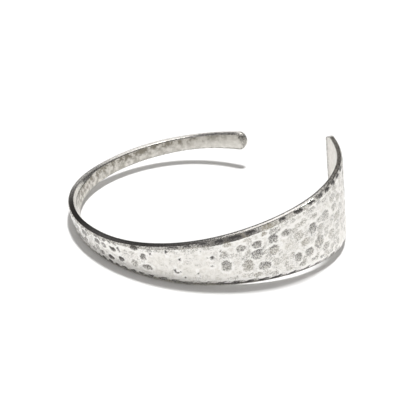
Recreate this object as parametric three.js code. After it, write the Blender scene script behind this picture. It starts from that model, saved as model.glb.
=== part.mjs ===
// Spoon bangle: an open silver cuff forged in one piece, millimetres, +Z up.
// A slim wire-like band starts at a rounded, slightly flared tip and grows into a broad
// blade, like a spoon's stem into its bowl. The cuff lies on its lower edge, as it comes to
// rest by itself, and the origin is under the middle of its box, on the surface it rests on.
import * as THREE from 'three';

// Oval of the band's middle line in the cuff's own plane: +X is its long axis, and the
// band runs anticlockwise from the narrow tip at the back, round the left, to the blade.
const OVAL_HALF_LENGTH = 30.1;
const OVAL_HALF_DEPTH = 24.6;
const TIP_ANGLE = 88.4;
const BLADE_ANGLE = 392.3;

// What bending by hand leaves on the oval: its radius swells by `share` at `lobes` places,
// the first of them at `turn` degrees, and draws in as much between them.
const SWELLS = [
  { lobes: 3, share: 0.024, turn: -16 },
  { lobes: 4, share: 0.009, turn: 0 },
];
// The middle line rises by `height` at `lobes` places, the first of them at `turn` degrees,
// and falls as much between them.
const WARPS = [
  { lobes: 2, height: 0.6, turn: 2 },
  { lobes: 3, height: 0.1, turn: -20 },
];

// Sections along the band, from the tip (at 0) to the blade's cut end (at 1).
// width: height of the band; rim: flat top and bottom edge; outer, inner: how far the
// outer and inner faces stand proud of that flat; outerBevel, innerBevel: height of the
// bevels between; lean: outward tilt in degrees.
const SECTIONS = [
  {
    at: 0.00, width: 3.75, lean: -7.6,
    rim: 1.05, outer: 0.20, inner: 0.45, outerBevel: 0.35, innerBevel: 0.45,
  },
  {
    at: 0.10, width: 3.30, lean: -7.2,
    rim: 1.05, outer: 0.20, inner: 0.45, outerBevel: 0.35, innerBevel: 0.50,
  },
  {
    at: 0.22, width: 3.30, lean: -6.75,
    rim: 1.00, outer: 0.22, inner: 0.40, outerBevel: 0.35, innerBevel: 0.55,
  },
  {
    at: 0.35, width: 4.90, lean: -6.25,
    rim: 0.95, outer: 0.24, inner: 0.36, outerBevel: 0.35, innerBevel: 0.60,
  },
  {
    at: 0.50, width: 7.15, lean: -5.65,
    rim: 0.90, outer: 0.26, inner: 0.33, outerBevel: 0.40, innerBevel: 0.65,
  },
  {
    at: 0.65, width: 11.60, lean: -5.05,
    rim: 0.85, outer: 0.28, inner: 0.29, outerBevel: 0.70, innerBevel: 0.60,
  },
  {
    at: 0.80, width: 16.40, lean: -4.5,
    rim: 0.85, outer: 0.30, inner: 0.25, outerBevel: 0.95, innerBevel: 0.50,
  },
  {
    at: 0.92, width: 20.10, lean: -4.0,
    rim: 0.80, outer: 0.30, inner: 0.22, outerBevel: 0.90, innerBevel: 0.45,
  },
  {
    at: 1.00, width: 21.65, lean: -3.7,
    rim: 0.80, outer: 0.30, inner: 0.20, outerBevel: 0.80, innerBevel: 0.40,
  },
];
const OUTER_CROWN = 0.1;
const BEVEL_MOST = 0.35; // a bevel takes no more than this share of half the band's height
const BEVEL_ROUND = 0.3; // how far a bevel's middle point lies from its rim, out of 1

// Ends of the band
const TIP_LENGTH = 1.8;
const TIP_FLAT_ANGLE = 14;
const TIP_NOSE = 0.6;
const BLADE_CORNER = 2.6;
const BLADE_END_THINNING = 0.75;
const BLADE_END_BEVEL = 0.3;

// How the cuff tips over on its own lower edge, in degrees about X and then Y
const REST_ROLL = 1.716;
const REST_PITCH = -7.849;

// Fineness of the solid
const BAND_STEPS = 104;
const END_STEPS = 7;
const OUTER_STEPS = 6;
const INNER_STEPS = 4;
const OVAL_SAMPLES = 1200;

const radians = THREE.MathUtils.degToRad;

// Slopes of a column at each row, kept flat at a turning point so the curve never overshoots
function columnSlopes(rows, column) {
  const steps = rows.slice(1).map((row, i) => (row[column] - rows[i][column]) / (row.at - rows[i].at));
  return rows.map((row, i) => {
    if (i === 0) return steps[0];
    if (i === rows.length - 1) return steps[i - 1];
    const [before, after] = [steps[i - 1], steps[i]];
    return before * after <= 0 ? 0 : (2 * before * after) / (before + after);
  });
}

// Returns a function of `at` that runs smoothly through one column of the section table
function smoothColumn(rows, column) {
  const slopes = columnSlopes(rows, column);
  return (at) => {
    const last = rows.length - 2;
    const i = Math.min(last, Math.max(0, rows.findIndex((row) => row.at > at) - 1));
    const k = at >= 1 ? last : i;
    const span = rows[k + 1].at - rows[k].at;
    const t = (at - rows[k].at) / span;
    const rise = t * t * (3 - 2 * t);
    return rows[k][column] * (1 - rise) + rows[k + 1][column] * rise
      + span * t * (1 - t) * ((1 - t) * slopes[k] - t * slopes[k + 1]);
  };
}

// Middle line of the band, sampled finely and then read by arc length
class BandLine extends THREE.Curve {
  getPoint(t, target = new THREE.Vector3()) {
    const angle = radians(TIP_ANGLE + (BLADE_ANGLE - TIP_ANGLE) * t);
    const wave = ({ lobes, turn }) => Math.cos(lobes * (angle - radians(turn)));
    const swell = SWELLS.reduce((sum, lobe) => sum + lobe.share * wave(lobe), 1);
    const warp = WARPS.reduce((sum, lobe) => sum + lobe.height * wave(lobe), 0);
    return target.set(
      OVAL_HALF_LENGTH * swell * Math.cos(angle), OVAL_HALF_DEPTH * swell * Math.sin(angle), warp);
  }
}

// Places along the band: even steps between the ends, and steps of equal turn round each end
function stations(length) {
  const places = [];
  for (let i = 0; i < END_STEPS; i += 1) {
    const turn = radians(TIP_FLAT_ANGLE + (90 - TIP_FLAT_ANGLE) * (i / END_STEPS));
    places.push({ distance: TIP_LENGTH * (1 - Math.cos(turn)), tipTurn: turn });
  }
  const run = length - TIP_LENGTH - BLADE_CORNER;
  for (let i = 0; i <= BAND_STEPS; i += 1) places.push({ distance: TIP_LENGTH + (run * i) / BAND_STEPS });
  for (let i = END_STEPS - 1; i >= 0; i -= 1) {
    const turn = radians(90 * (i / END_STEPS));
    places.push({ distance: length - BLADE_CORNER * (1 - Math.cos(turn)), bladeTurn: turn });
  }
  return places;
}

// Outline of one section, anticlockwise seen from the tip: u outward, v up
function sectionOutline({ halfHeight, rim, outer, inner, outerBevel, innerBevel }) {
  const outerDrop = Math.min(outerBevel, BEVEL_MOST * halfHeight);
  const innerDrop = Math.min(innerBevel, BEVEL_MOST * halfHeight);
  const [outerSide, innerSide] = [halfHeight - outerDrop, halfHeight - innerDrop];
  const flat = rim / 2;
  const outerMiddle = [flat + outer * (1 - BEVEL_ROUND), halfHeight - outerDrop * BEVEL_ROUND];
  const innerMiddle = [-flat - inner * (1 - BEVEL_ROUND), halfHeight - innerDrop * BEVEL_ROUND];
  const points = [];
  for (let i = 0; i <= OUTER_STEPS; i += 1) {
    const rise = (2 * i) / OUTER_STEPS - 1;
    points.push([flat + outer + OUTER_CROWN * (1 - rise * rise), outerSide * rise]);
  }
  points.push(outerMiddle, [flat, halfHeight], [-flat, halfHeight], innerMiddle);
  for (let i = 0; i <= INNER_STEPS; i += 1) {
    points.push([-flat - inner, innerSide * (1 - (2 * i) / INNER_STEPS)]);
  }
  const atFoot = ([u, v]) => [u, -v];
  points.push(atFoot(innerMiddle), [-flat, -halfHeight], [flat, -halfHeight], atFoot(outerMiddle));
  return points;
}

// Closed skin through rings of equally many points, with a flat cap on each end
function skin(rings) {
  const count = rings[0].length;
  const positions = rings.flat().flatMap((point) => point.toArray());
  const faces = [];
  for (let r = 0; r + 1 < rings.length; r += 1) {
    for (let i = 0; i < count; i += 1) {
      const j = (i + 1) % count;
      const [a, b, c, d] = [r * count + i, r * count + j, (r + 1) * count + j, (r + 1) * count + i];
      faces.push(a, c, b, a, d, c);
    }
  }
  const lastRing = (rings.length - 1) * count;
  for (let i = 1; i + 1 < count; i += 1) {
    faces.push(0, i, i + 1);
    faces.push(lastRing, lastRing + i + 1, lastRing + i);
  }
  const geometry = new THREE.BufferGeometry();
  geometry.setAttribute('position', new THREE.Float32BufferAttribute(positions, 3));
  geometry.setIndex(faces);
  return geometry;
}

function cuffGeometry() {
  const line = new BandLine();
  line.arcLengthDivisions = OVAL_SAMPLES;
  const length = line.getLength();
  const names = Object.keys(SECTIONS[0]).filter((name) => name !== 'at');
  const column = Object.fromEntries(names.map((name) => [name, smoothColumn(SECTIONS, name)]));
  const up = new THREE.Vector3(0, 0, 1);
  const rings = stations(length).map(({ distance, tipTurn, bladeTurn }) => {
    const at = distance / length;
    const place = line.getPointAt(at);
    const along = line.getTangentAt(at).setZ(0).normalize();
    const outward = new THREE.Vector3().crossVectors(along, up);
    const lean = radians(column.lean(at));
    const section = {
      halfHeight: column.width(at) / 2,
      rim: column.rim(at),
      outer: column.outer(at),
      inner: column.inner(at),
      outerBevel: column.outerBevel(at),
      innerBevel: column.innerBevel(at),
    };
    let thinning = 1;
    if (tipTurn !== undefined) {
      section.halfHeight *= Math.sin(tipTurn);
      thinning = TIP_NOSE + (1 - TIP_NOSE) * Math.sin(tipTurn);
    }
    if (bladeTurn !== undefined) {
      section.halfHeight -= BLADE_CORNER * (1 - Math.sin(bladeTurn));
      const inFromEnd = Math.min(1, (length - distance) / BLADE_END_BEVEL);
      thinning = BLADE_END_THINNING + (1 - BLADE_END_THINNING) * inFromEnd;
    }
    return sectionOutline(section).map(([u, v]) => place.clone()
      .addScaledVector(outward, thinning * u * Math.cos(lean) - v * Math.sin(lean))
      .addScaledVector(up, thinning * u * Math.sin(lean) + v * Math.cos(lean)));
  });
  return skin(rings);
}

// Tips the cuff onto its three resting points and brings the origin under its middle
function rest(geometry) {
  geometry.rotateX(radians(REST_ROLL));
  geometry.rotateY(radians(REST_PITCH));
  geometry.computeBoundingBox();
  const { min, max } = geometry.boundingBox;
  return geometry.translate(-(min.x + max.x) / 2, -(min.y + max.y) / 2, -min.z);
}

const silver = new THREE.MeshStandardMaterial({ color: 0xd6d3cc, roughness: 0.38, metalness: 1 });
const cuff = new THREE.Mesh(rest(cuffGeometry()), silver);
cuff.name = 'cuff';

const bangle = new THREE.Group();
bangle.add(cuff);

export default bangle;
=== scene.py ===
"""Spoon bangle in hammered silver: an open cuff, lying on its lower edge as it comes to rest.

The band's line and sections follow the part's source, and the comments say where they differ
from it. On them this script builds the finely hammered skin that replaces the plain solid, and
its silver finish. Lengths are millimetres until the mesh is made, where they become metres, and
the few that are metres from the start say so.
"""

import math

import bpy
import numpy as np
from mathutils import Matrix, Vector


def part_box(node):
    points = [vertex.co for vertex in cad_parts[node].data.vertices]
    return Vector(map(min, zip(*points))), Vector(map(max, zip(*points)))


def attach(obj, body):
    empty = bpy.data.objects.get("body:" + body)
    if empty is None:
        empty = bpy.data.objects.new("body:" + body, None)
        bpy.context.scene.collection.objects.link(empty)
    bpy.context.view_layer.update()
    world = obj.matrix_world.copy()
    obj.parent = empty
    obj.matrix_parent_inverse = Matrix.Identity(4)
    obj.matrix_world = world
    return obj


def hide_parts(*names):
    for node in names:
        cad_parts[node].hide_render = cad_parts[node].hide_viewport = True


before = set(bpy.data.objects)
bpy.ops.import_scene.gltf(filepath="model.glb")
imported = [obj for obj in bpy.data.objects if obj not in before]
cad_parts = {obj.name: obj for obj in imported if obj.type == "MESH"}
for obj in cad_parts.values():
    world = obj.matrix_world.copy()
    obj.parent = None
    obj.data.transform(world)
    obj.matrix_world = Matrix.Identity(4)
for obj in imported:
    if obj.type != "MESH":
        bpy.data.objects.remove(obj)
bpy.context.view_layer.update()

MM = 0.001
SEED = 7

# Band --------------------------------------------------------------------------------------
# Its line, sections and ends are those of the part's source, but for two things: the tip is
# 4.25 mm tall here and 3.75 mm there, and the inner face stands less proud of the flat edge near
# the tip and more proud a third of the way along. The oval with its swells and warps, the widths
# and the leans are rounded results of a fit by scratch scripts, as report.md tells.
OVAL_HALF_LENGTH = 30.1
OVAL_HALF_DEPTH = 24.6
TIP_ANGLE = 88.4
BLADE_ANGLE = 392.3
SWELLS = (
    {"lobes": 3, "share": 0.024, "turn": -16.0},
    {"lobes": 4, "share": 0.009, "turn": 0.0},
)
WARPS = (
    {"lobes": 2, "height": 0.6, "turn": 2.0},
    {"lobes": 3, "height": 0.1, "turn": -20.0},
)
SECTION_COLUMNS = ("at", "width", "rim", "outer", "inner", "lean")
SECTIONS = (
    (0.00, 4.25, 1.05, 0.20, 0.28, -7.6),
    (0.10, 3.30, 1.05, 0.20, 0.28, -7.2),
    (0.22, 3.30, 1.00, 0.22, 0.34, -6.75),
    (0.35, 4.90, 0.95, 0.24, 0.60, -6.25),
    (0.50, 7.15, 0.90, 0.26, 0.33, -5.65),
    (0.65, 11.60, 0.85, 0.28, 0.29, -5.05),
    (0.80, 16.40, 0.85, 0.30, 0.25, -4.5),
    (0.92, 20.10, 0.80, 0.30, 0.22, -4.0),
    (1.00, 21.65, 0.80, 0.30, 0.20, -3.7),
)
TIP_HALF_HEIGHT = SECTIONS[0][1] / 2
OUTER_CROWN = 0.1
TIP_LENGTH = 1.8
TIP_FLAT_ANGLE = 14.0
TIP_NOSE = 0.6
BLADE_CORNER = 2.6
BLADE_END_THINNING = 0.75
BLADE_END_BEVEL = 0.3
REST_ROLL = 1.716
REST_PITCH = -7.849

# Fine skin ---------------------------------------------------------------------------------
BAND_STEPS = 600
END_STEPS = 22
OVAL_SAMPLES = 4000
# Steps round one section, in ring order from the foot of the outer face
RING_PARTS = (
    ("outer", 84),
    ("top_outer_bevel", 6),
    ("top_rim", 8),
    ("top_inner_bevel", 5),
    ("inner", 28),
    ("foot_inner_bevel", 5),
    ("foot_rim", 5),
    ("foot_outer_bevel", 6),
)
INNER_CROWN = 0.08
BEVEL_BULGE = 0.05
BEVEL_MOST = 0.4  # a bevel takes no more than this share of half the band's height
# Heights of the bevels along the band, simpler in the solid: at, top outer, foot outer, inner
BEVEL_COLUMNS = ("at", "top_bevel", "foot_bevel", "inner_bevel")
BEVELS = (
    (0.00, 0.35, 0.35, 0.40),
    (0.10, 0.35, 0.38, 0.28),
    (0.25, 0.35, 0.47, 0.30),
    (0.32, 0.35, 0.68, 0.95),
    (0.40, 0.35, 1.00, 1.00),
    (0.50, 0.40, 0.95, 0.70),
    (0.60, 0.80, 1.05, 0.60),
    (0.70, 1.30, 0.78, 0.50),
    (0.78, 1.10, 0.60, 0.50),
    (0.90, 0.85, 0.55, 0.45),
    (1.00, 0.70, 0.50, 0.40),
)
# How much wider than the solid's the worn flat of the top edge is, on its inner side
RIM_COLUMNS = ("at", "wider")
RIM_WEAR = (
    (0.00, -0.40), (0.07, -0.30), (0.11, 0.18), (0.23, 0.24), (0.31, 0.08), (0.40, 0.14),
    (0.47, 0.30), (0.55, 0.30), (0.65, 0.20), (0.85, 0.20), (0.92, 0.15), (1.00, 0.25),
)
# Facet filed on the inside of the tip: where its crease is at mid height, how far it slants
# away from the tip towards the top, and how fast the facet falls away beyond it
FACET_CREASE = 1.5
FACET_SLANT = 0.9
FACET_SLOPE = 0.26
FACET_LEAST = 0.13  # how much of the thickness inside the middle line is never filed
FACET_KEPT = 0.12  # share of the rest that is always kept, so that no two points meet

# Dents -------------------------------------------------------------------------------------
# Hammer dents of the front, charted from the photograph: place along and up the band,
# length and height, how dark the oxide in them is and how tan it is. When the band's length
# was refined, a script moved the places of all four charts 0.3 to 2.1 mm towards the tip, and
# some of them were then corrected one by one.
DENTS = (
    # from the wrist's far side to the plain stretch
    (64.8, 1.5, 2.1, 1.6, 0.60, 0.1), (67.5, 2.0, 1.5, 1.2, 0.25, 0.2),
    (69.6, 1.7, 1.6, 1.5, 0.60, 0.1), (69.5, 3.0, 1.1, 0.7, 0.50, 0.0),
    (71.8, 3.0, 1.0, 0.8, 0.60, 0.0), (71.6, 1.6, 1.3, 1.3, 0.50, 0.1),
    (74.1, 1.5, 1.6, 1.3, 0.75, 0.1), (73.5, 3.1, 0.9, 0.7, 0.50, 0.0),
    (74.9, 3.2, 1.0, 0.7, 0.50, 0.1), (75.8, 2.0, 0.7, 1.5, 0.60, 0.0),
    (77.0, 3.6, 1.6, 0.8, 0.40, 0.4), (77.5, 1.9, 1.5, 1.3, 0.35, 0.3),
    (80.0, 3.6, 2.0, 1.3, 0.90, 0.1), (79.2, 2.0, 1.4, 1.3, 0.30, 0.4),
    (81.9, 1.7, 1.5, 1.8, 0.80, 0.1), (79.4, -0.7, 1.6, 1.9, 0.50, 0.3),
    (82.3, -1.1, 2.3, 1.4, 0.70, 0.2), (76.0, -0.5, 1.5, 1.3, 0.90, 0.1),
    (73.1, -1.1, 1.5, 1.3, 0.75, 0.1), (70.4, -0.9, 1.3, 1.2, 0.55, 0.1),
    (67.7, -1.1, 1.3, 1.0, 0.45, 0.1), (64.7, -1.3, 1.4, 1.0, 0.30, 0.1),
    (61.7, 1.4, 1.6, 1.4, 0.45, 0.1), (61.9, -0.8, 1.4, 1.1, 0.40, 0.1),
    (83.5, 3.5, 1.5, 1.1, 0.60, 0.1), (85.2, 3.7, 1.2, 0.7, 0.45, 0.1),
    (92.9, 3.9, 1.7, 0.8, 0.35, 0.3), (91.9, 2.1, 1.3, 0.7, 0.25, 0.3),
    # the worn row along the top edge of the plain stretch
    (83.6, 3.5, 1.7, 0.8, 0.40, 0.4), (86.0, 3.8, 1.8, 0.8, 0.34, 0.5),
    (88.6, 3.9, 1.9, 0.9, 0.36, 0.4), (91.2, 4.2, 1.9, 0.8, 0.34, 0.4),
    (93.8, 4.5, 1.8, 0.9, 0.36, 0.4), (96.3, 4.5, 1.8, 0.9, 0.40, 0.4),
    # the row under the top edge
    (96.7, 4.2, 2.1, 1.1, 0.25, 0.3), (100.5, 4.6, 1.9, 1.1, 0.50, 0.8),
    (104.6, 4.8, 1.9, 1.1, 0.35, 0.7), (108.3, 5.3, 1.5, 1.1, 0.65, 0.9),
    (112.3, 5.9, 2.2, 1.3, 0.22, 0.3), (115.9, 4.3, 1.9, 1.2, 0.40, 0.6),
    (119.9, 4.5, 1.9, 1.2, 0.45, 0.3), (115.9, 6.4, 1.9, 1.1, 0.15, 0.3),
    (119.4, 6.5, 1.9, 1.2, 0.45, 0.2), (122.9, 6.9, 1.6, 1.2, 0.40, 0.2),
    (125.6, 5.6, 2.0, 2.2, 0.42, 0.2), (129.4, 6.0, 1.8, 2.0, 0.30, 0.1),
    (109.4, 6.7, 2.4, 1.4, 0.75, 0.9),
    # the broad rows
    (99.6, 2.1, 1.9, 2.1, 0.45, 0.1), (99.7, -0.9, 2.2, 2.9, 0.65, 0.1),
    (103.2, 3.0, 1.9, 1.9, 0.60, 0.1), (106.6, 3.1, 2.1, 1.9, 0.70, 0.1),
    (110.1, 3.3, 2.0, 2.3, 0.66, 0.0), (113.1, 3.7, 2.1, 1.9, 0.60, 0.1),
    (115.8, 1.7, 2.3, 2.3, 0.45, 0.6), (119.3, 1.7, 2.1, 2.7, 0.65, 0.1),
    (122.9, 2.7, 2.3, 2.7, 0.50, 0.0), (125.9, 3.2, 1.9, 1.9, 0.45, 0.1),
    (104.2, -1.9, 2.4, 3.2, 0.55, 0.5), (106.4, 0.5, 2.6, 2.6, 0.62, 0.0),
    (110.0, 0.5, 2.4, 2.6, 0.60, 0.6), (110.1, 1.2, 2.0, 0.9, 0.75, 0.0),
    (113.6, 0.1, 2.3, 2.7, 0.20, 0.6), (117.3, -0.8, 2.5, 1.9, 0.50, 0.7),
    (107.7, -3.0, 2.7, 2.2, 0.62, 0.0), (112.1, -3.0, 2.2, 2.7, 0.30, 0.5),
    (115.2, -3.9, 1.7, 2.4, 0.65, 0.1), (118.0, -4.0, 2.0, 2.5, 0.56, 0.0),
    (120.7, -2.9, 2.5, 3.4, 0.48, 0.1), (124.5, -3.0, 2.1, 2.3, 0.40, 0.5),
    (127.1, -2.3, 1.8, 2.2, 0.35, 0.1), (122.5, -5.3, 2.1, 2.3, 0.45, 0.1),
    (123.0, -0.6, 1.6, 1.6, 0.30, 0.2), (125.1, 0.8, 1.5, 1.6, 0.35, 0.1),
    (128.8, 1.2, 1.9, 2.2, 0.35, 0.0), (129.6, -4.4, 1.9, 2.2, 0.30, 0.0),
    # the row over the foot
    (103.3, -4.3, 1.9, 1.0, 0.25, 0.4), (105.9, -4.9, 1.8, 1.3, 0.60, 0.6),
    (109.5, -5.8, 1.9, 1.2, 0.50, 0.3), (112.8, -5.8, 1.8, 1.3, 0.40, 0.6),
    (116.1, -6.2, 1.7, 1.3, 0.55, 0.2), (119.1, -6.5, 1.6, 1.0, 0.50, 0.1),
    (121.2, -7.0, 1.4, 1.0, 0.45, 0.0), (124.1, -7.3, 1.3, 1.0, 0.35, 0.1),
    (126.0, -5.8, 1.9, 1.7, 0.30, 0.1), (99.8, -4.6, 1.8, 0.9, 0.20, 0.4),
)
# Pinholes in the plain stretch of the front, in the same columns
PITS = (
    (83.7, 2.7, 0.6, 0.5, 0.9, 0.0), (87.4, 3.7, 0.5, 1.1, 1.0, 0.0),
    (90.2, 1.8, 0.6, 0.7, 1.0, 0.0), (88.7, -1.5, 0.5, 1.0, 1.0, 0.0),
    (89.1, -1.9, 0.7, 0.4, 1.0, 0.0), (89.7, -1.6, 0.4, 0.4, 0.8, 0.0),
    (93.5, -2.1, 0.4, 0.7, 1.0, 0.0), (90.4, -3.3, 0.5, 0.5, 0.9, 0.0),
    (97.0, 1.7, 0.7, 0.8, 0.9, 0.0), (96.8, -0.5, 0.7, 0.5, 0.7, 0.0),
    (95.9, 1.9, 0.5, 0.5, 0.5, 0.0), (94.7, 3.6, 0.4, 0.4, 0.7, 0.0),
    (111.7, 5.1, 0.5, 0.4, 0.8, 0.5), (98.9, 3.3, 0.4, 0.5, 0.7, 0.0),
)
# Dents struck on the top outer edge: place along the band, length, height and darkness
EDGE_DENTS = (
    (81.1, 1.8, 0.6, 0.65), (83.1, 1.6, 0.5, 0.55), (86.1, 2.0, 0.6, 0.60),
    (89.1, 2.8, 0.8, 0.85), (92.2, 2.2, 0.7, 0.95), (95.6, 2.0, 0.8, 0.95),
    (98.9, 2.2, 1.4, 1.00), (102.3, 3.2, 1.3, 1.00), (105.7, 2.6, 1.1, 0.98),
    (112.5, 1.7, 0.9, 0.95), (116.3, 2.4, 1.1, 1.00),
    (119.6, 2.0, 0.9, 0.98), (121.8, 1.8, 0.9, 0.90), (124.1, 1.6, 0.9, 1.00),
    (126.4, 1.7, 1.0, 1.00), (128.6, 1.6, 1.0, 1.00), (130.9, 1.6, 0.9, 0.95),
)
# Jags on the upper border of the foot's bevel, in the same columns
FOOT_DENTS = (
    (63.1, 1.1, 0.5, 0.50), (65.0, 1.2, 0.5, 0.60), (67.1, 1.2, 0.5, 0.60),
    (68.8, 1.1, 0.6, 0.70), (70.4, 1.3, 0.8, 1.00), (72.4, 1.4, 0.8, 1.00),
    (74.2, 1.3, 0.7, 1.00), (76.1, 1.4, 0.7, 0.95), (78.3, 1.6, 0.7, 0.90),
    (80.4, 1.6, 0.6, 0.90), (82.7, 1.8, 0.5, 0.90), (85.3, 2.2, 0.5, 0.85),
    (88.1, 2.0, 0.5, 0.70), (91.1, 2.2, 0.5, 0.60), (94.5, 2.4, 0.5, 0.65),
    (97.9, 2.2, 0.6, 0.85), (100.9, 2.4, 0.7, 0.80), (103.9, 2.8, 0.6, 1.00),
    (106.9, 2.6, 0.6, 1.00), (109.9, 2.8, 0.6, 1.00), (113.3, 2.8, 0.5, 1.00),
    (116.5, 2.6, 0.5, 0.95), (119.7, 2.4, 0.5, 0.85),
)
# Charted dents before this place hold more oxide than the chart says, by this factor
SIDE_STRETCH_END = 76.5
SIDE_TONE = 1.3
# Depth of a dent, a pinhole and an edge dent for each millimetre across
DENT_SLOPE = 0.045
PIT_SLOPE = 0.12
EDGE_SLOPE = 0.075

# Habit of the dents that aren't charted, which fill the face wherever the charted ones leave
# room: their radius, how dark they are, and their depth for each millimetre across
HABIT_COLUMNS = ("at", "radius", "dark", "depth")
HABIT = (
    (0.00, 0.50, 0.45, 0.040),
    (0.30, 0.55, 0.50, 0.050),
    (0.42, 0.58, 0.55, 0.060),
    (0.46, 0.62, 0.40, 0.060),
    (0.51, 0.70, 0.12, 0.050),
    (0.58, 0.90, 0.10, 0.040),
    (0.66, 1.10, 0.15, 0.040),
    (0.72, 1.10, 0.25, 0.050),
    (0.88, 1.20, 0.25, 0.060),
    (0.92, 1.20, 0.45, 0.070),
    (1.00, 1.15, 0.45, 0.070),
)
# Ranges that each such dent is drawn from: shares of the habit's radius, darkness and depth, how
# much longer than tall it is, and how tan its oxide is
HABIT_SIZE = (0.75, 1.15)
HABIT_DARK = (0.2, 1.8)
HABIT_DEPTH = (0.4, 1.0)
HABIT_STRETCH = (0.85, 1.15)
HABIT_TAN = (0.0, 0.6)
DENT_TRIES = 9000
DENT_GAP = 0.86  # how near two dents stand, as a share of their radii together
DENT_ROOM = 0.6  # a dent is left out where less than this share of its radius has room
END_MARGIN = 1.0  # how far from the ends of the band and from its edges their middles stay
SIDE_MARGIN = 0.4

# Stretches of the outer edges whose dents aren't charted: 1 for the top or -1 for the foot,
# and where along the band the stretch starts and ends
OPEN_EDGES = ((1, 3.0, 79.5), (1, 134.0, 143.5), (-1, 3.0, 63.5), (-1, 122.0, 143.5))
OPEN_LENGTH = (1.3, 2.0)  # how long they are, as shares of the habit's radius
OPEN_STEP = (1.0, 1.5)  # how far it is to the next, as shares of their length
# How tall they are: a least height, and more by a share of the habit's radius in this range
OPEN_HEIGHT_LEAST = 0.5
OPEN_HEIGHT_SHARE = 0.35
OPEN_HEIGHT = (0.8, 1.4)
OPEN_DARK = (0.3, 0.9)
OPEN_TAN = 0.1
OPEN_INSET = 0.42  # how far in from the edge their middles are, as a share of their height
OPEN_SLOPE = 0.6  # how steep they are beside the charted ones

DENT_SPREAD = 1.4  # about how many times the area of its oxide a dent covers
DENT_SQUARENESS = 2.2  # 2 is an ellipse, more is boxier
OUTLINE_WANDER = 0.11  # how far the outline of a dent strays, and over what length
OUTLINE_WAVE = 1.5
WOBBLE_WAVES = 7
WOBBLE_LENGTHS = (0.7, 1.5)  # shortest and longest of those waves, as shares of that length
DENT_TOP_SHADE = 0.22  # painted shade: how much darker the upper part of a dent, which faces down, is than its middle
OXIDE_FADE = 0.22  # width of the soft border of the oxide
# Painted highlight on the ridges between the dents, which also stands for their polish
RIDGE_PLACE = 0.32  # how far outside the oxide the ridge between two dents shines
RIDGE_WIDTH = 0.24
RIDGE_LEAST = 0.3  # how much a ridge shines round a dent without oxide

# Films, stains and painted shade -------------------------------------------------------------
# Film of oxide along the top edge, set beside the photograph, which is also painted shade: on the
# flat edge and its bevels it paints the dark reflection of the dim room in their polish, and on
# the foot's bevel it paints the shade where the bevel mirrors the cuff's shadow on the floor.
# Columns: place along the band, then how much of it is on the outer bevel, on the flat's outer
# border, middle and inner border, on the inner bevel, and on the lower and the upper half of the
# foot's bevel
FILM_AND_SHADE_COLUMNS = ("along", "bevel", "outer", "middle", "inner", "inner_bevel", "foot", "foot_shade_line")
EDGE_FILM_AND_SHADE = (
    (0.0, 0.25, 0.70, 0.85, 0.90, 0.70, 0.10, 0.20),
    (0.5, 0.25, 0.60, 0.80, 0.85, 0.60, 0.10, 0.20),
    (0.9, 0.25, 0.00, 0.00, 0.10, 0.40, 0.10, 0.20),
    (2.0, 0.25, 0.00, 0.00, 0.30, 0.60, 0.10, 0.20),
    (3.0, 0.45, 0.30, 0.10, 0.80, 0.85, 0.10, 0.20),
    (10.0, 0.55, 0.60, 0.40, 0.80, 0.90, 0.10, 0.20),
    (13.0, 0.60, 0.40, 0.05, 0.50, 0.95, 0.15, 0.25),
    (16.0, 0.60, 0.30, 0.00, 0.10, 0.95, 0.20, 0.30),
    (22.0, 0.65, 0.25, 0.00, 0.00, 0.95, 0.20, 0.30),
    (30.0, 0.65, 0.30, 0.00, 0.10, 0.95, 0.30, 0.30),
    (34.0, 0.65, 0.65, 0.45, 0.50, 0.95, 0.30, 0.30),
    (38.0, 0.70, 0.85, 0.76, 0.80, 0.90, 0.30, 0.30),
    (43.5, 0.75, 0.80, 0.66, 0.75, 0.90, 0.30, 0.30),
    (45.5, 0.80, 0.80, 0.70, 0.80, 0.30, 0.30, 0.30),
    (48.0, 0.45, 0.90, 0.85, 0.90, 0.00, 0.30, 0.30),
    (60.5, 0.25, 0.96, 0.97, 1.00, 0.00, 0.30, 0.40),
    (67.5, 0.35, 0.96, 0.97, 1.00, 0.20, 0.35, 0.70),
    (74.5, 0.55, 0.94, 0.96, 1.00, 0.20, 0.40, 0.70),
    (82.5, 0.50, 0.94, 0.95, 0.98, 0.20, 0.45, 0.70),
    (94.5, 0.65, 0.90, 0.90, 0.96, 0.20, 0.40, 0.75),
    (97.5, 0.88, 0.60, 0.70, 0.95, 0.20, 0.35, 0.90),
    (101.0, 0.96, 0.55, 0.45, 0.95, 0.20, 0.25, 0.95),
    (105.5, 0.90, 0.40, 0.00, 1.00, 0.20, 0.15, 0.95),
    (109.0, 0.55, 0.35, 0.00, 1.00, 0.20, 0.05, 0.95),
    (113.0, 0.50, 0.45, 0.00, 0.95, 0.20, 0.05, 0.92),
    (118.0, 0.45, 0.70, 0.05, 0.95, 0.20, 0.05, 0.85),
    (121.0, 0.36, 0.70, 0.40, 0.90, 0.20, 0.10, 0.75),
    (126.0, 0.32, 0.60, 0.55, 0.85, 0.15, 0.20, 0.60),
    (131.0, 0.40, 0.60, 0.54, 0.45, 0.05, 0.30, 0.50),
    (142.0, 0.66, 0.58, 0.52, 0.36, 0.05, 0.30, 0.50),
    (143.5, 0.70, 0.64, 0.58, 0.55, 0.65, 0.30, 0.50),
    (145.0, 0.70, 0.66, 0.62, 0.62, 0.65, 0.30, 0.50),
)
RIM_BORDER = 0.25  # share of the flat edge that either of its borders takes
INNER_FOOT_DARKENING = 0.60  # darkening of the upper and of the lower half of the foot's inner bevel
INNER_FOOT_LEAST = 0.1
END_LINE = 0.70  # darkening of the inner face along the blade's cut end
END_LINE_WIDTH = 2.0
# Painted shade in the crease under the inner bevel, where the band turns round the wrist's side:
# its stretch along the band, over what length it fades, and how many steps of the inner face it
# takes
CREASE_SHADE = 0.85
CREASE_STRETCH = (42.0, 58.0)
CREASE_FADE = 4.0
CREASE_STEPS = 2
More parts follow.
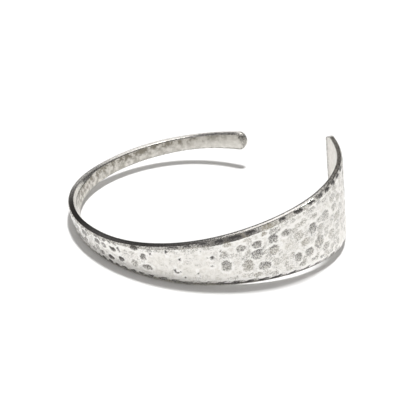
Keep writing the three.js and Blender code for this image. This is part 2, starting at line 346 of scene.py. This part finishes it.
# Painted shade on the tip's facet at its top and at its foot, between which heights it turns from
# one to the other, as shares of half the tip's height, and how far past the crease it is full
FACET_SHADE = 0.62
FACET_FOOT_SHADE = 0.30
FACET_SHADE_RISE = (-0.2, 0.6)
FACET_EDGE = 0.35
FLECKS = 0.40  # how far the film on the flat edges strays from one fleck to the next
FLECK_RISE = (118.0, 132.0)  # where along the band the flecks begin and are full

# Stain of the inner face, partly real tarnish in blotches and partly painted shade that darkens it
# towards the top: place along the band, how strong it is at its top and its foot, and how blotchy
# it is
STAIN_AND_SHADE_COLUMNS = ("along", "top", "foot", "blotchy")
INNER_STAINS_AND_SHADE = (
    (0.0, 0.60, 0.30, 0.30),
    (1.8, 0.75, 0.10, 0.30),
    (3.0, 0.85, 0.05, 0.30),
    (6.0, 1.05, 0.10, 0.40),
    (14.0, 1.15, 0.45, 0.60),
    (22.0, 1.10, 0.60, 0.75),
    (32.0, 1.20, 0.60, 0.85),
    (42.0, 1.30, 0.70, 0.85),
    (50.0, 1.10, 0.75, 0.85),
    (56.0, 0.60, 0.40, 0.85),
    (98.5, 0.45, 0.30, 0.85),
    (128.0, 0.12, 0.10, 0.85),
    (145.0, 0.08, 0.06, 0.85),
)
# Between which heights the stain turns from its foot's strength to its top's, in shares of half
# the
# height: painted shade that darkens the inner face upwards
STAIN_SHADE_RISE = (-0.5, 0.8)

# Finish ------------------------------------------------------------------------------------
SILVER = (0.83, 0.805, 0.76, 1)
DULL_SILVER = (0.68, 0.66, 0.61, 1)
# colour of the painted highlight on the ridges, which also stands for their polish
RIDGE_HIGHLIGHT_SILVER = (0.96, 0.95, 0.93, 1)
# dark of the oxide, also used for the painted shade
DARK_OXIDE_AND_SHADE = (0.050, 0.046, 0.045, 1)
TAN_OXIDE = (0.22, 0.19, 0.13, 1)
# colour of the inner face's tarnish and of the painted shade on it
INNER_STAIN_AND_SHADE = (0.255, 0.235, 0.195, 1)
# How many grains, clouds and blotches there are to a metre, and the shares of their noise
# between which each turns from none to full
SPECKLE_SCALE = 3600.0
SPECKLE_RAMP = (0.34, 0.66)
CLOUD_SCALE = 900.0
CLOUD_RAMP = (0.35, 0.70)
BLOTCH_SCALE = 950.0
BLOTCH_RAMP = (0.38, 0.62)
NOISE_ROUGHNESS = 0.6
MOST_OXIDE_AND_SHADE = 0.98
HELD_CURVE = 1.25  # above 1, so that a thin film of oxide or of painted shade shows less than its share
SPECKLE = 3.0  # how strongly the oxide breaks up into grains where it is half worn away
STAIN_MIDDLE = 0.625  # share of the stain that is there between light and dark blotches
# strength of the painted highlight on the ridges
RIDGE_HIGHLIGHT = 0.9
MATT_METAL = 0.65  # how metallic the matt silver looks beside the polished edge
# Roughness of the matt silver, what its grains add to it, and what polish takes from it
MATT_ROUGHNESS = 0.24
GRAIN_ROUGHNESS = 0.20
POLISH = 0.18
# Strength of the grains' bump, what polish takes from it, and their height in metres
GRAIN_BUMP = 0.3
POLISH_BUMP = 0.27
GRAIN_HEIGHT = 0.00004

# Studio ------------------------------------------------------------------------------------
# The camera comes from the same fit as the band
CAMERA_PLACE = (146.924, -414.576, 295.029)
CAMERA_AIM = (1.879, -5.944, 8.005)
CAMERA_LENS = 205.93
CAMERA_SENSOR = 36.0
CAMERA_NEAREST = 0.01  # in metres
FLOOR_SIDE = 4.0  # in metres
FLOOR_COLOUR = (0.90, 0.90, 0.90, 1)
FLOOR_ROUGHNESS = 0.9
KEY_WAY = (-0.020, -0.124, -1.0)
KEY_STRENGTH = 2.75
KEY_SOFTNESS = 7.0

# Room round the table, by height above the horizon in degrees: a white sweep below, dim above
SWEEP_TOP = 20.0
SWEEP_FADE = 27.0
SWEEP_LIGHT = (1.0, 1.0, 1.0, 1)
ROOM_LIGHT = (0.26, 0.25, 0.24, 1)
# Patches of the room: where they are, counted to the right from straight behind the cuff, how
# high, how wide their core and their soft border are, all in degrees, and how light they are
PATCHES = (
    {"turn": -45.2, "height": 34.0, "core": 6.0, "border": 15.0, "light": (0.14, 0.13, 0.12, 1)},
    {"turn": -37.5, "height": 40.0, "core": 5.0, "border": 3.5, "light": (1.5, 1.5, 1.52, 1)},
)


def smooth_column(rows, columns, name, at):
    """One column of a table, read smoothly at the places `at`, flat at its turning points."""
    places = np.array([row[0] for row in rows])
    values = np.array([row[columns.index(name)] for row in rows])
    steps = np.diff(values) / np.diff(places)
    slopes = np.empty(len(rows))
    slopes[0], slopes[-1] = steps[0], steps[-1]
    before, after = steps[:-1], steps[1:]
    both = before + after
    same_way = before * after > 0
    slopes[1:-1] = np.where(same_way, 2 * before * after / np.where(same_way, both, 1), 0)
    k = np.clip(np.searchsorted(places, at, side="right") - 1, 0, len(rows) - 2)
    span = places[k + 1] - places[k]
    t = (at - places[k]) / span
    rise = t * t * (3 - 2 * t)
    bow = span * t * (1 - t) * ((1 - t) * slopes[k] - t * slopes[k + 1])
    return values[k] * (1 - rise) + values[k + 1] * rise + bow


def smooth_columns(rows, columns, at):
    """Every column of a table by its name, read smoothly, a row for each place."""
    return {name: smooth_column(rows, columns, name, at)[:, None] for name in columns[1:]}


def straight_column(rows, columns, name, along):
    """One column of a table, read in straight lines between its rows."""
    places = [row[0] for row in rows]
    return np.interp(along, places, [row[columns.index(name)] for row in rows])


def smooth_step(low, high, x):
    """0 below `low`, 1 above `high`, and a smooth rise between them."""
    t = np.clip((x - low) / (high - low), 0, 1)
    return t * t * (3 - 2 * t)


def wave(lobe, angle):
    """1 where a lobe of the middle line is fullest, -1 halfway to the next."""
    return np.cos(lobe["lobes"] * (angle - math.radians(lobe["turn"])))


# Shape of the band -------------------------------------------------------------------------
class Band:
    """The middle line of the band, read by the distance from the tip."""

    def __init__(self):
        angle = np.radians(np.linspace(TIP_ANGLE, BLADE_ANGLE, OVAL_SAMPLES))
        swell = 1 + sum(lobe["share"] * wave(lobe, angle) for lobe in SWELLS)
        x = OVAL_HALF_LENGTH * swell * np.cos(angle)
        y = OVAL_HALF_DEPTH * swell * np.sin(angle)
        z = sum(lobe["height"] * wave(lobe, angle) for lobe in WARPS)
        self.points = np.stack([x, y, z], axis=1)
        steps = np.linalg.norm(np.diff(self.points, axis=0), axis=1)
        self.distances = np.concatenate([[0], np.cumsum(steps)])
        self.tangents = np.gradient(self.points, self.distances, axis=0)
        self.length = self.distances[-1]

    def read(self, table, distance):
        """One of the line's tables of points, read at each distance."""
        return np.stack([np.interp(distance, self.distances, table[:, i]) for i in range(3)], -1)

    def place(self, distance, u, v):
        """Points at u outward and v up from the middle line, before the cuff is tipped to rest."""
        middle = self.read(self.points, distance)
        along = self.read(self.tangents, distance)
        across = np.hypot(along[..., 0], along[..., 1])
        outward_x, outward_y = along[..., 1] / across, -along[..., 0] / across
        at = distance / self.length
        lean = np.radians(smooth_column(SECTIONS, SECTION_COLUMNS, "lean", at))
        out = u * np.cos(lean) - v * np.sin(lean)
        up = u * np.sin(lean) + v * np.cos(lean)
        x = middle[..., 0] + outward_x * out
        y = middle[..., 1] + outward_y * out
        return np.stack([x, y, middle[..., 2] + up], -1)


def half_height(band, along):
    return smooth_column(SECTIONS, SECTION_COLUMNS, "width", along / band.length) / 2


def tip_to_rest(points):
    """Turns about X and then Y, as the part's source does."""
    roll, pitch = math.radians(REST_ROLL), math.radians(REST_PITCH)
    x, y, z = points[..., 0], points[..., 1], points[..., 2]
    y, z = y * math.cos(roll) - z * math.sin(roll), y * math.sin(roll) + z * math.cos(roll)
    x, z = x * math.cos(pitch) + z * math.sin(pitch), z * math.cos(pitch) - x * math.sin(pitch)
    return np.stack([x, y, z], -1)


def stations(length):
    """Distances from the tip, how much of its height the band has at each in the tip's round
    nose, and how much the blade's round corners cut off there."""
    tip_turn = np.radians(np.linspace(TIP_FLAT_ANGLE, 90, END_STEPS + 1)[:-1])
    blade_turn = np.radians(np.linspace(90, 0, END_STEPS + 1)[1:])
    run = np.linspace(TIP_LENGTH, length - BLADE_CORNER, BAND_STEPS + 1)
    tip = TIP_LENGTH * (1 - np.cos(tip_turn))
    blade = length - BLADE_CORNER * (1 - np.cos(blade_turn))
    distance = np.concatenate([tip, run, blade])
    tip_share = np.ones(len(distance))
    tip_share[:END_STEPS] = np.sin(tip_turn)
    corner_cut = np.zeros(len(distance))
    corner_cut[-END_STEPS:] = BLADE_CORNER * (1 - np.sin(blade_turn))
    return distance, tip_share, corner_cut


def section_corners(at, tip_share, corner_cut):
    """Where each part of the section starts and ends, and half the section's height."""
    size = smooth_columns(SECTIONS, SECTION_COLUMNS, at)
    bevel = smooth_columns(BEVELS, BEVEL_COLUMNS, at)
    wear = smooth_columns(RIM_WEAR, RIM_COLUMNS, at)["wider"]
    half = size["width"] / 2 * tip_share[:, None] - corner_cut[:, None]
    flat, outer, inner = size["rim"] / 2, size["outer"], size["inner"]
    most = BEVEL_MOST * half
    top = np.minimum(bevel["top_bevel"], most)
    foot = np.minimum(bevel["foot_bevel"], most)
    inside = np.minimum(bevel["inner_bevel"], most)
    corners = {
        "outer": ((flat + outer, foot - half), (flat + outer, half - top)),
        "top_outer_bevel": ((flat + outer, half - top), (flat, half)),
        "top_rim": ((flat, half), (-flat - wear, half)),
        "top_inner_bevel": ((-flat - wear, half), (-flat - inner, half - inside)),
        "inner": ((-flat - inner, half - inside), (-flat - inner, inside - half)),
        "foot_inner_bevel": ((-flat - inner, inside - half), (-flat, -half)),
        "foot_rim": ((-flat, -half), (flat, -half)),
        "foot_outer_bevel": ((flat, -half), (flat + outer, foot - half)),
    }
    return corners, half


def chamfer(start, end, t):
    """Points from start to end on a line that bulges a little outward."""
    u = start[0] + (end[0] - start[0]) * t
    v = start[1] + (end[1] - start[1]) * t
    run, rise = end[0] - start[0], end[1] - start[1]
    long = np.hypot(run, rise)
    bulge = BEVEL_BULGE * np.sin(math.pi * t) * np.minimum(1, long)
    return u + bulge * rise / long, v - bulge * run / long


def part_points(name, start, end, t):
    """Points of one part of the section, with the crowns of the two faces."""
    if "bevel" in name:
        return chamfer(start, end, t)
    u = start[0] + (end[0] - start[0]) * t
    v = start[1] + (end[1] - start[1]) * t
    crown = 1 - (2 * t - 1) ** 2
    if name == "outer":
        u = u + OUTER_CROWN * crown
    if name == "inner":
        u = u - INNER_CROWN * crown
    return u, v


def facet_depth(distance, v):
    """How far past the facet's crease each point of the band lies, towards the tip."""
    crease = FACET_CREASE + FACET_SLANT * v / TIP_HALF_HEIGHT
    return np.clip(crease - distance, 0, None)


def file_tip(distance, u, v):
    """Sections with the inside of the tip filed to a slanting facet."""
    inward = np.clip(-FACET_LEAST - u, 0, None)
    deepest = inward.max(axis=1, keepdims=True)
    kept = np.clip(1 - FACET_SLOPE * facet_depth(distance, v) / deepest, FACET_KEPT, 1)
    return np.where(inward > 0, -FACET_LEAST - inward * kept, u)


def section_rings(band):
    """Rings of section points: arrays of distance, u and v, a row for each station."""
    distance, tip_share, corner_cut = stations(band.length)
    corners, half = section_corners(distance / band.length, tip_share, corner_cut)
    us, vs = [], []
    for name, steps in RING_PARTS:
        t = (np.arange(steps) / steps)[None, :]
        u, v = part_points(name, *corners[name], t)
        us.append(u)
        vs.append(v)
    u, v = np.concatenate(us, axis=1), np.concatenate(vs, axis=1)
    nose = TIP_NOSE + (1 - TIP_NOSE) * tip_share
    end_in = np.minimum(1, (band.length - distance) / BLADE_END_BEVEL)
    thinning = nose * (BLADE_END_THINNING + (1 - BLADE_END_THINNING) * end_in)
    u = file_tip(distance[:, None], u * thinning[:, None], v)
    return np.broadcast_to(distance[:, None], u.shape), u, v, half


def ring_mask(*names):
    """1 for the ring points that belong to the parts named, else 0."""
    steps = [np.full(steps, float(name in names)) for name, steps in RING_PARTS]
    return np.concatenate(steps)[None, :]


# Making the dents --------------------------------------------------------------------------
def habit(name, at):
    return smooth_column(HABIT, HABIT_COLUMNS, name, at)


def charted_dents():
    """Rows of the chart with their depth, darker round the wrist's side than they are charted."""
    rows = []
    for along, up, long, tall, dark, tan in DENTS:
        if along < SIDE_STRETCH_END:
            dark = min(1.0, SIDE_TONE * dark)
        rows.append((along, up, long, tall, dark, tan, DENT_SLOPE * min(long, tall)))
    return rows


def all_dents(band, rng):
    """Rows of along, up, long, tall, dark, tan and depth for the whole outer face."""
    rows = charted_dents()
    rows += [(*pit, PIT_SLOPE * min(pit[2], pit[3])) for pit in PITS]
    for along, long, tall, dark in EDGE_DENTS:
        up = half_height(band, along) - tall / 2
        rows.append((along, up, long, tall, dark, 0.0, EDGE_SLOPE * tall))
    for along, long, tall, dark in FOOT_DENTS:
        bevel = smooth_column(BEVELS, BEVEL_COLUMNS, "foot_bevel", along / band.length)
        up = bevel - half_height(band, along)
        rows.append((along, up, long, tall, dark, 0.0, EDGE_SLOPE * tall))
    rows += open_edge_dents(band, rng)
    rows += habit_dents(band, rng, rows)
    return np.array(rows)


def open_edge_dents(band, rng):
    """Dents struck on both outer edges where the photograph shows none or is no guide."""
    rows = []
    for side, start, end in OPEN_EDGES:
        along = start
        while along < end:
            radius = habit("radius", along / band.length)
            long = radius * rng.uniform(*OPEN_LENGTH)
            tall = OPEN_HEIGHT_LEAST + OPEN_HEIGHT_SHARE * radius * rng.uniform(*OPEN_HEIGHT)
            up = side * (half_height(band, along) - OPEN_INSET * tall)
            dark = rng.uniform(*OPEN_DARK)
            rows.append((along, up, long, tall, dark, OPEN_TAN, OPEN_SLOPE * EDGE_SLOPE * tall))
            along += long * rng.uniform(*OPEN_STEP)
    return rows


def habit_dents(band, rng, taken):
    """Dents of the maker's habit in all the room that the other ones leave."""
    taken = np.array(taken)
    centres = taken[:, :2]
    radii = (taken[:, 2] + taken[:, 3]) / 4
    rows = []
    for _ in range(DENT_TRIES):
        along = rng.uniform(END_MARGIN, band.length - END_MARGIN)
        at = along / band.length
        up = rng.uniform(-1, 1) * (half_height(band, along) - SIDE_MARGIN)
        wanted = habit("radius", at) * rng.uniform(*HABIT_SIZE)
        share = rng.uniform(*HABIT_DEPTH)
        away = np.hypot(centres[:, 0] - along, centres[:, 1] - up)
        room = np.min(away / DENT_GAP - radii)
        if room < DENT_ROOM * wanted:
            continue
        radius = min(wanted, room)
        stretch = rng.uniform(*HABIT_STRETCH)
        dark = habit("dark", at) * rng.uniform(*HABIT_DARK)
        tan = rng.uniform(*HABIT_TAN)
        depth = habit("depth", at) * 2 * radius * share
        rows.append((along, up, 2 * radius * stretch, 2 * radius / stretch, dark, tan, depth))
        centres = np.vstack([centres, [along, up]])
        radii = np.append(radii, radius)
    return rows


def wobble(a, b, rng, length, height):
    """A smooth seeded wander over the band, in waves about this long and high."""
    total = np.zeros(a.shape)
    for _ in range(WOBBLE_WAVES):
        way = rng.uniform(0, 2 * math.pi)
        turns = 2 * math.pi / (length * rng.uniform(*WOBBLE_LENGTHS))
        start = rng.uniform(0, 2 * math.pi)
        total += np.sin(turns * (a * math.cos(way) + b * math.sin(way)) + start)
    return height * total / math.sqrt(WOBBLE_WAVES)


def stamp(dents, distance, height, rng):
    """Depth of the dents at each point, their oxide and painted shade, its tan and the painted
    highlight round it.
    """
    depth, dark, tan, ridge_highlight = (np.zeros(distance.shape) for _ in range(4))
    a_warp = distance + wobble(distance, height, rng, OUTLINE_WAVE, OUTLINE_WANDER)
    b_warp = height + wobble(distance, height, rng, OUTLINE_WAVE, OUTLINE_WANDER)
    for along, up, long, tall, tone, warm, deep in dents:
        rows = np.abs(distance[:, 0] - along) < long
        a = np.abs(a_warp[rows] - along) / (long / 2)
        rise = (b_warp[rows] - up) / (tall / 2)
        b = np.abs(rise)
        q = a**DENT_SQUARENESS + b**DENT_SQUARENESS
        depth[rows] = np.maximum(depth[rows], deep * np.clip(1 - q / DENT_SPREAD, 0, 1))
        outside = (q ** (1 / DENT_SQUARENESS) - 1) * min(long, tall) / 2
        inside = 1 - smooth_step(-OXIDE_FADE / 2, OXIDE_FADE / 2, outside)
        # painted shade on the upper part of each dent
        inside *= 1 + DENT_TOP_SHADE * np.clip(rise, -1, 1)
        better = tone * inside > dark[rows]
        dark[rows] = np.where(better, tone * inside, dark[rows])
        tan[rows] = np.where(better, warm, tan[rows])
        fade = np.exp(-(((outside - RIDGE_PLACE) / RIDGE_WIDTH) ** 2))
        ridge_highlight[rows] = np.maximum(ridge_highlight[rows], min(1, RIDGE_LEAST + tone) * fade)
    return depth, dark, tan, ridge_highlight


# Laying on the films and the painted shade ---------------------------------------------------
def facet_shade(distance, v):
    """Painted shade on the tip's facet, darker towards its top and gone at its crease."""
    rise = smooth_step(*FACET_SHADE_RISE, v / TIP_HALF_HEIGHT)
    strength = FACET_FOOT_SHADE + (FACET_SHADE - FACET_FOOT_SHADE) * rise
    return strength * smooth_step(0, FACET_EDGE, facet_depth(distance, v))


def crease_shade(along):
    """Painted shade in the crease under the inner bevel, for each place along the band."""
    start, end = CREASE_STRETCH
    before = smooth_step(start - CREASE_FADE, start, along)
    return CREASE_SHADE * before * (1 - smooth_step(end, end + CREASE_FADE, along))


def part_film_and_shade(name, step, t, film_and_shade):
    """Film and painted shade on one step of a section's part; t is the share of the part before
    it.
    """
    if name == "top_outer_bevel":
        return film_and_shade["bevel"]
    if name == "top_rim" and t < RIM_BORDER:
        return film_and_shade["outer"]
    if name == "top_rim" and t < 1 - RIM_BORDER:
        return film_and_shade["middle"]
    if name == "top_rim" or (name == "top_inner_bevel" and step == 0):
        return film_and_shade["inner"]
    if name == "top_inner_bevel":
        return film_and_shade["inner_bevel"]
    if name == "inner":
        return film_and_shade["crease"] if step < CREASE_STEPS else film_and_shade["end_line"]
    if name == "foot_inner_bevel":
        return film_and_shade["none"] + (INNER_FOOT_DARKENING if t < 0.5 else INNER_FOOT_LEAST)
    if name == "foot_outer_bevel":
        return film_and_shade["foot"] if t < 0.5 else film_and_shade["foot_shade_line"]
    return film_and_shade["none"]


def edge_film_and_shade(along, length):
    """Oxide film and painted shade on the edges and the inner face's borders, a row for each ring.
    """
    names = FILM_AND_SHADE_COLUMNS[1:]
    film_and_shade = {name: straight_column(EDGE_FILM_AND_SHADE, FILM_AND_SHADE_COLUMNS, name, along) for name in names}
    film_and_shade["none"] = np.zeros(len(along))
    film_and_shade["end_line"] = END_LINE * smooth_step(length - END_LINE_WIDTH, length, along)
    film_and_shade["crease"] = np.maximum(film_and_shade["end_line"], crease_shade(along))
    columns = []
    for name, steps in RING_PARTS:
        for step in range(steps):
            columns.append(part_film_and_shade(name, step, step / steps, film_and_shade))
    return np.stack(columns, axis=1)


def inner_stain_and_shade(along, rise):
    """Strength of the stain and painted shade on the inner face, from its foot to its top."""
    top = straight_column(INNER_STAINS_AND_SHADE, STAIN_AND_SHADE_COLUMNS, "top", along)[:, None]
    foot = straight_column(INNER_STAINS_AND_SHADE, STAIN_AND_SHADE_COLUMNS, "foot", along)[:, None]
    return foot + (top - foot) * smooth_step(*STAIN_SHADE_RISE, rise)


# Making the cuff ---------------------------------------------------------------------------
def end_cap(first, count, turned):
    """Triangles that close an end of the band, in a fan from its ring's first point."""
    faces = []
    for i in range(1, count - 1):
        near, far = (i + 1, i) if turned else (i, i + 1)
        faces.append((first, first + near, first + far))
    return faces


def skin_faces(rings, count):
    """Quads between the rings, and a cap on each end."""
    r = np.arange(rings - 1)[:, None] * count
    i = np.arange(count)[None, :]
    j = (i + 1) % count
    quads = np.stack([r + i, r + count + i, r + count + j, r + j], axis=-1).reshape(-1, 4)
    caps = end_cap(0, count, False) + end_cap((rings - 1) * count, count, True)
    return quads.tolist() + caps


def skin_mesh(points):
    """Mesh in metres through rings of points in millimetres."""
    mesh = bpy.data.meshes.new("cuff_silver")
    rings, count = points.shape[:2]
    mesh.from_pydata((points.reshape(-1, 3) * MM).tolist(), [], skin_faces(rings, count))
    mesh.polygons.foreach_set("use_smooth", np.ones(len(mesh.polygons), dtype=bool))
    return mesh


def shift_to_solid(points):
    """How far the plain skin moves so that it stands where the solid does."""
    low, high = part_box("cuff")
    middle = (points.min((0, 1)) + points.max((0, 1))) / 2
    shift = (np.array(low) + np.array(high)) / 2 / MM - middle
    shift[2] = low[2] / MM - points[..., 2].min()
    return shift


def add_values(mesh, name, values):
    """A number for each point of the mesh, which the finish reads by its name."""
    attribute = mesh.attributes.new(name, "FLOAT", "POINT")
    attribute.data.foreach_set("value", values.astype(np.float32).ravel())


def add_dent_values(mesh, dark, tan, ridge_highlight, hammered):
    add_values(mesh, "dark", dark * hammered)
    add_values(mesh, "tan", tan * hammered)
    add_values(mesh, "ridge_highlight", ridge_highlight * ring_mask("outer"))


def add_film_and_shade_values(mesh, band, rings, rng):
    """Polish, film, stain and the painted shade in them, of each point."""
    distance, v, half = rings
    rim = ring_mask("top_rim", "foot_rim") * np.ones(v.shape)
    inside = ring_mask("inner") * np.ones(v.shape)
    along = distance[:, 0]
    flecked = FLECKS * smooth_step(*FLECK_RISE, distance) * rim
    film_and_shade = edge_film_and_shade(along, band.length) + flecked * rng.uniform(-1, 1, v.shape)
    film_and_shade = np.maximum(film_and_shade, facet_shade(distance, v) * inside)
    blotchy = straight_column(INNER_STAINS_AND_SHADE, STAIN_AND_SHADE_COLUMNS, "blotchy", along)[:, None]
    add_values(mesh, "rim", rim)
    add_values(mesh, "film_and_shade", np.clip(film_and_shade, 0, 1))
    add_values(mesh, "stain_and_shade", inner_stain_and_shade(along, v / half))
    add_values(mesh, "blotchy", blotchy * inside)
    add_values(mesh, "inside", inside)


def make_cuff():
    band = Band()
    rng = np.random.default_rng(SEED)
    distance, u, v, half = section_rings(band)
    shift = shift_to_solid(tip_to_rest(band.place(distance, u, v)))
    depth, dark, tan, ridge_highlight = stamp(all_dents(band, rng), distance, v, rng)
    hammered = ring_mask("outer", "top_outer_bevel", "foot_outer_bevel")
    mesh = skin_mesh(tip_to_rest(band.place(distance, u - depth * hammered, v)) + shift)
    add_dent_values(mesh, dark, tan, ridge_highlight, hammered)
    add_film_and_shade_values(mesh, band, (distance, v, half), rng)
    mesh.update()
    cuff = bpy.data.objects.new("cuff_silver", mesh)
    bpy.context.collection.objects.link(cuff)
    return cuff


# Making the finish -------------------------------------------------------------------------
class Nodes:
    """Short names for making and joining the nodes of one material."""

    def __init__(self, tree):
        self.tree = tree

    def add(self, kind, **inputs):
        node = self.tree.nodes.new(kind)
        for name, value in inputs.items():
            self.set(node, name, value)
        return node

    def set(self, node, name, value):
        """Sets or links an input, called by its name or, as i0, i1 and so on, by its number."""
        by_number = name[0] == "i" and name[1:].isdigit()
        socket = node.inputs[int(name[1:]) if by_number else name]
        if isinstance(value, bpy.types.NodeSocket):
            self.tree.links.new(value, socket)
        else:
            socket.default_value = value

    def math(self, operation, a, b, clamp=False):
        node = self.add("ShaderNodeMath", i0=a, i1=b)
        node.operation = operation
        node.use_clamp = clamp
        return node.outputs[0]

    def mix(self, share, a, b):
        """A mix of two colours, which are inputs 6 and 7 and output 2 of a Mix node."""
        node = self.tree.nodes.new("ShaderNodeMix")
        node.data_type = "RGBA"
        self.set(node, "i0", share)
        self.set(node, "i6", a)
        self.set(node, "i7", b)
        return node.outputs[2]

    def attribute(self, name):
        node = self.tree.nodes.new("ShaderNodeAttribute")
        node.attribute_name = name
        return node.outputs["Fac"]

    def noise(self, coordinates, scale, detail):
        node = self.add("ShaderNodeTexNoise", Vector=coordinates, Scale=scale, Detail=detail)
        self.set(node, "Roughness", NOISE_ROUGHNESS)
        return node.outputs["Fac"]

    def ramp(self, value, low, high):
        node = self.add("ShaderNodeMapRange", Value=value)
        node.interpolation_type = "SMOOTHSTEP"
        self.set(node, "From Min", low)
        self.set(node, "From Max", high)
        return node.outputs["Result"]


def oxide_and_shade_share(n, speckle):
    """How much of the metal oxide and painted shade cover, broken into grains where half worn
    away.
    """
    held = n.math("MAXIMUM", n.attribute("dark"), n.attribute("film_and_shade"))
    grain = n.math("SUBTRACT", n.ramp(speckle, *SPECKLE_RAMP), 0.5)
    loose = n.math("MULTIPLY", held, n.math("SUBTRACT", 1.0, held))
    settled = n.math("MULTIPLY", n.math("POWER", held, HELD_CURVE), MOST_OXIDE_AND_SHADE)
    broken = n.math("MULTIPLY", loose, n.math("MULTIPLY", grain, SPECKLE))
    return n.math("ADD", settled, broken, clamp=True)


def clean_silver(n, place):
    """Silver without oxide: clouded, with a painted highlight, partly polish, on the ridges
    between dents.
    """
    cloud = n.ramp(n.noise(place, CLOUD_SCALE, detail=4.0), *CLOUD_RAMP)
    highlight = n.math("MULTIPLY", n.attribute("ridge_highlight"), RIDGE_HIGHLIGHT)
    return n.mix(highlight, n.mix(cloud, SILVER, DULL_SILVER), RIDGE_HIGHLIGHT_SILVER)


def stain_and_shade_share(n, place):
    """How much of the inner face its stain and painted shade cover, in blotches."""
    blotch = n.ramp(n.noise(place, BLOTCH_SCALE, detail=3.0), *BLOTCH_RAMP)
    uneven = n.math("MULTIPLY", n.math("SUBTRACT", blotch, 0.5), n.attribute("blotchy"))
    patchy = n.math("ADD", uneven, STAIN_MIDDLE)
    return n.math("MULTIPLY", patchy, n.attribute("stain_and_shade"), clamp=True)


def silver_material():
    material = bpy.data.materials.new("hammered_silver")
    material.use_nodes = True
    tree = material.node_tree
    tree.nodes.clear()
    n = Nodes(tree)
    place = tree.nodes.new("ShaderNodeTexCoord").outputs["Object"]
    speckle = n.noise(place, SPECKLE_SCALE, detail=3.0)
    rim = n.attribute("rim")
    oxide_and_shade = oxide_and_shade_share(n, speckle)
    clean = clean_silver(n, place)
    outer = n.mix(oxide_and_shade, clean, n.mix(n.attribute("tan"), DARK_OXIDE_AND_SHADE, TAN_OXIDE))
    inner = n.mix(oxide_and_shade, n.mix(stain_and_shade_share(n, place), clean, INNER_STAIN_AND_SHADE), DARK_OXIDE_AND_SHADE)
    matt = n.math("ADD", n.math("MULTIPLY", speckle, GRAIN_ROUGHNESS), MATT_ROUGHNESS)
    grains = n.math("SUBTRACT", GRAIN_BUMP, n.math("MULTIPLY", rim, POLISH_BUMP))
    bump = n.add("ShaderNodeBump", Strength=grains, Distance=GRAIN_HEIGHT, Height=speckle)

    shader = n.add("ShaderNodeBsdfPrincipled", Normal=bump.outputs["Normal"])
    metal = n.math("ADD", n.math("MULTIPLY", rim, 1 - MATT_METAL), MATT_METAL)
    n.set(shader, "Metallic", metal)
    n.set(shader, "Base Color", n.mix(n.attribute("inside"), outer, inner))
    n.set(shader, "Roughness", n.math("SUBTRACT", matt, n.math("MULTIPLY", rim, POLISH)))
    output = tree.nodes.new("ShaderNodeOutputMaterial")
    tree.links.new(shader.outputs["BSDF"], output.inputs["Surface"])
    return material


# Making the studio -------------------------------------------------------------------------
def make_camera():
    """The photograph's viewing angle."""
    lens = bpy.data.cameras.new("camera")
    lens.lens = CAMERA_LENS
    lens.sensor_width = CAMERA_SENSOR
    lens.clip_start = CAMERA_NEAREST
    camera = bpy.data.objects.new("camera", lens)
    camera.location = Vector(CAMERA_PLACE) * MM
    sight = Vector(CAMERA_AIM) - Vector(CAMERA_PLACE)
    camera.rotation_euler = sight.to_track_quat("-Z", "Y").to_euler()
    bpy.context.collection.objects.link(camera)
    bpy.context.scene.camera = camera


def make_floor():
    half = FLOOR_SIDE / 2
    mesh = bpy.data.meshes.new("floor")
    corners = [(-half, -half, 0), (half, -half, 0), (half, half, 0), (-half, half, 0)]
    mesh.from_pydata(corners, [], [(0, 1, 2, 3)])
    floor = bpy.data.objects.new("floor", mesh)
    bpy.context.collection.objects.link(floor)
    material = bpy.data.materials.new("floor_white")
    material.use_nodes = True
    shader = material.node_tree.nodes["Principled BSDF"]
    shader.inputs["Base Color"].default_value = FLOOR_COLOUR
    shader.inputs["Roughness"].default_value = FLOOR_ROUGHNESS
    shader.inputs["Specular IOR Level"].default_value = 0.0
    mesh.materials.append(material)


def make_key():
    lamp = bpy.data.lights.new("key", "SUN")
    lamp.energy = KEY_STRENGTH
    lamp.angle = math.radians(KEY_SOFTNESS)
    key = bpy.data.objects.new("key", lamp)
    key.rotation_euler = Vector(KEY_WAY).to_track_quat("-Z", "Y").to_euler()
    bpy.context.collection.objects.link(key)


def way_to(turn, height):
    """Unit vector towards a place in the room."""
    turn, height = math.radians(turn), math.radians(height)
    across = math.cos(height)
    return Vector((math.sin(turn) * across, math.cos(turn) * across, math.sin(height)))


def make_world():
    """Light from all round: the white sweep, the dim room above it and its patches."""
    world = bpy.data.worlds.new("studio")
    world.use_nodes = True
    tree = world.node_tree
    tree.nodes.clear()
    n = Nodes(tree)
    way = tree.nodes.new("ShaderNodeTexCoord").outputs["Generated"]
    height = n.add("ShaderNodeSeparateXYZ", Vector=way).outputs["Z"]
    low, high = math.sin(math.radians(SWEEP_TOP)), math.sin(math.radians(SWEEP_FADE))
    colour = n.mix(n.ramp(height, low, high), SWEEP_LIGHT, ROOM_LIGHT)
    for patch in PATCHES:
        near = tree.nodes.new("ShaderNodeVectorMath")
        near.operation = "DOT_PRODUCT"
        n.set(near, "i0", way)
        n.set(near, "i1", way_to(patch["turn"], patch["height"]))
        edge = math.cos(math.radians(patch["core"] + patch["border"]))
        share = n.ramp(near.outputs["Value"], edge, math.cos(math.radians(patch["core"])))
        colour = n.mix(share, colour, patch["light"])
    background = n.add("ShaderNodeBackground", Color=colour, Strength=1.0)
    output = tree.nodes.new("ShaderNodeOutputWorld")
    tree.links.new(background.outputs[0], output.inputs["Surface"])
    bpy.context.scene.world = world


make_camera()
make_floor()
make_key()
make_world()
bpy.context.scene.view_settings.view_transform = "Standard"

cuff = make_cuff()
cuff.data.materials.append(silver_material())
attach(cuff, "root")
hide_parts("cuff")
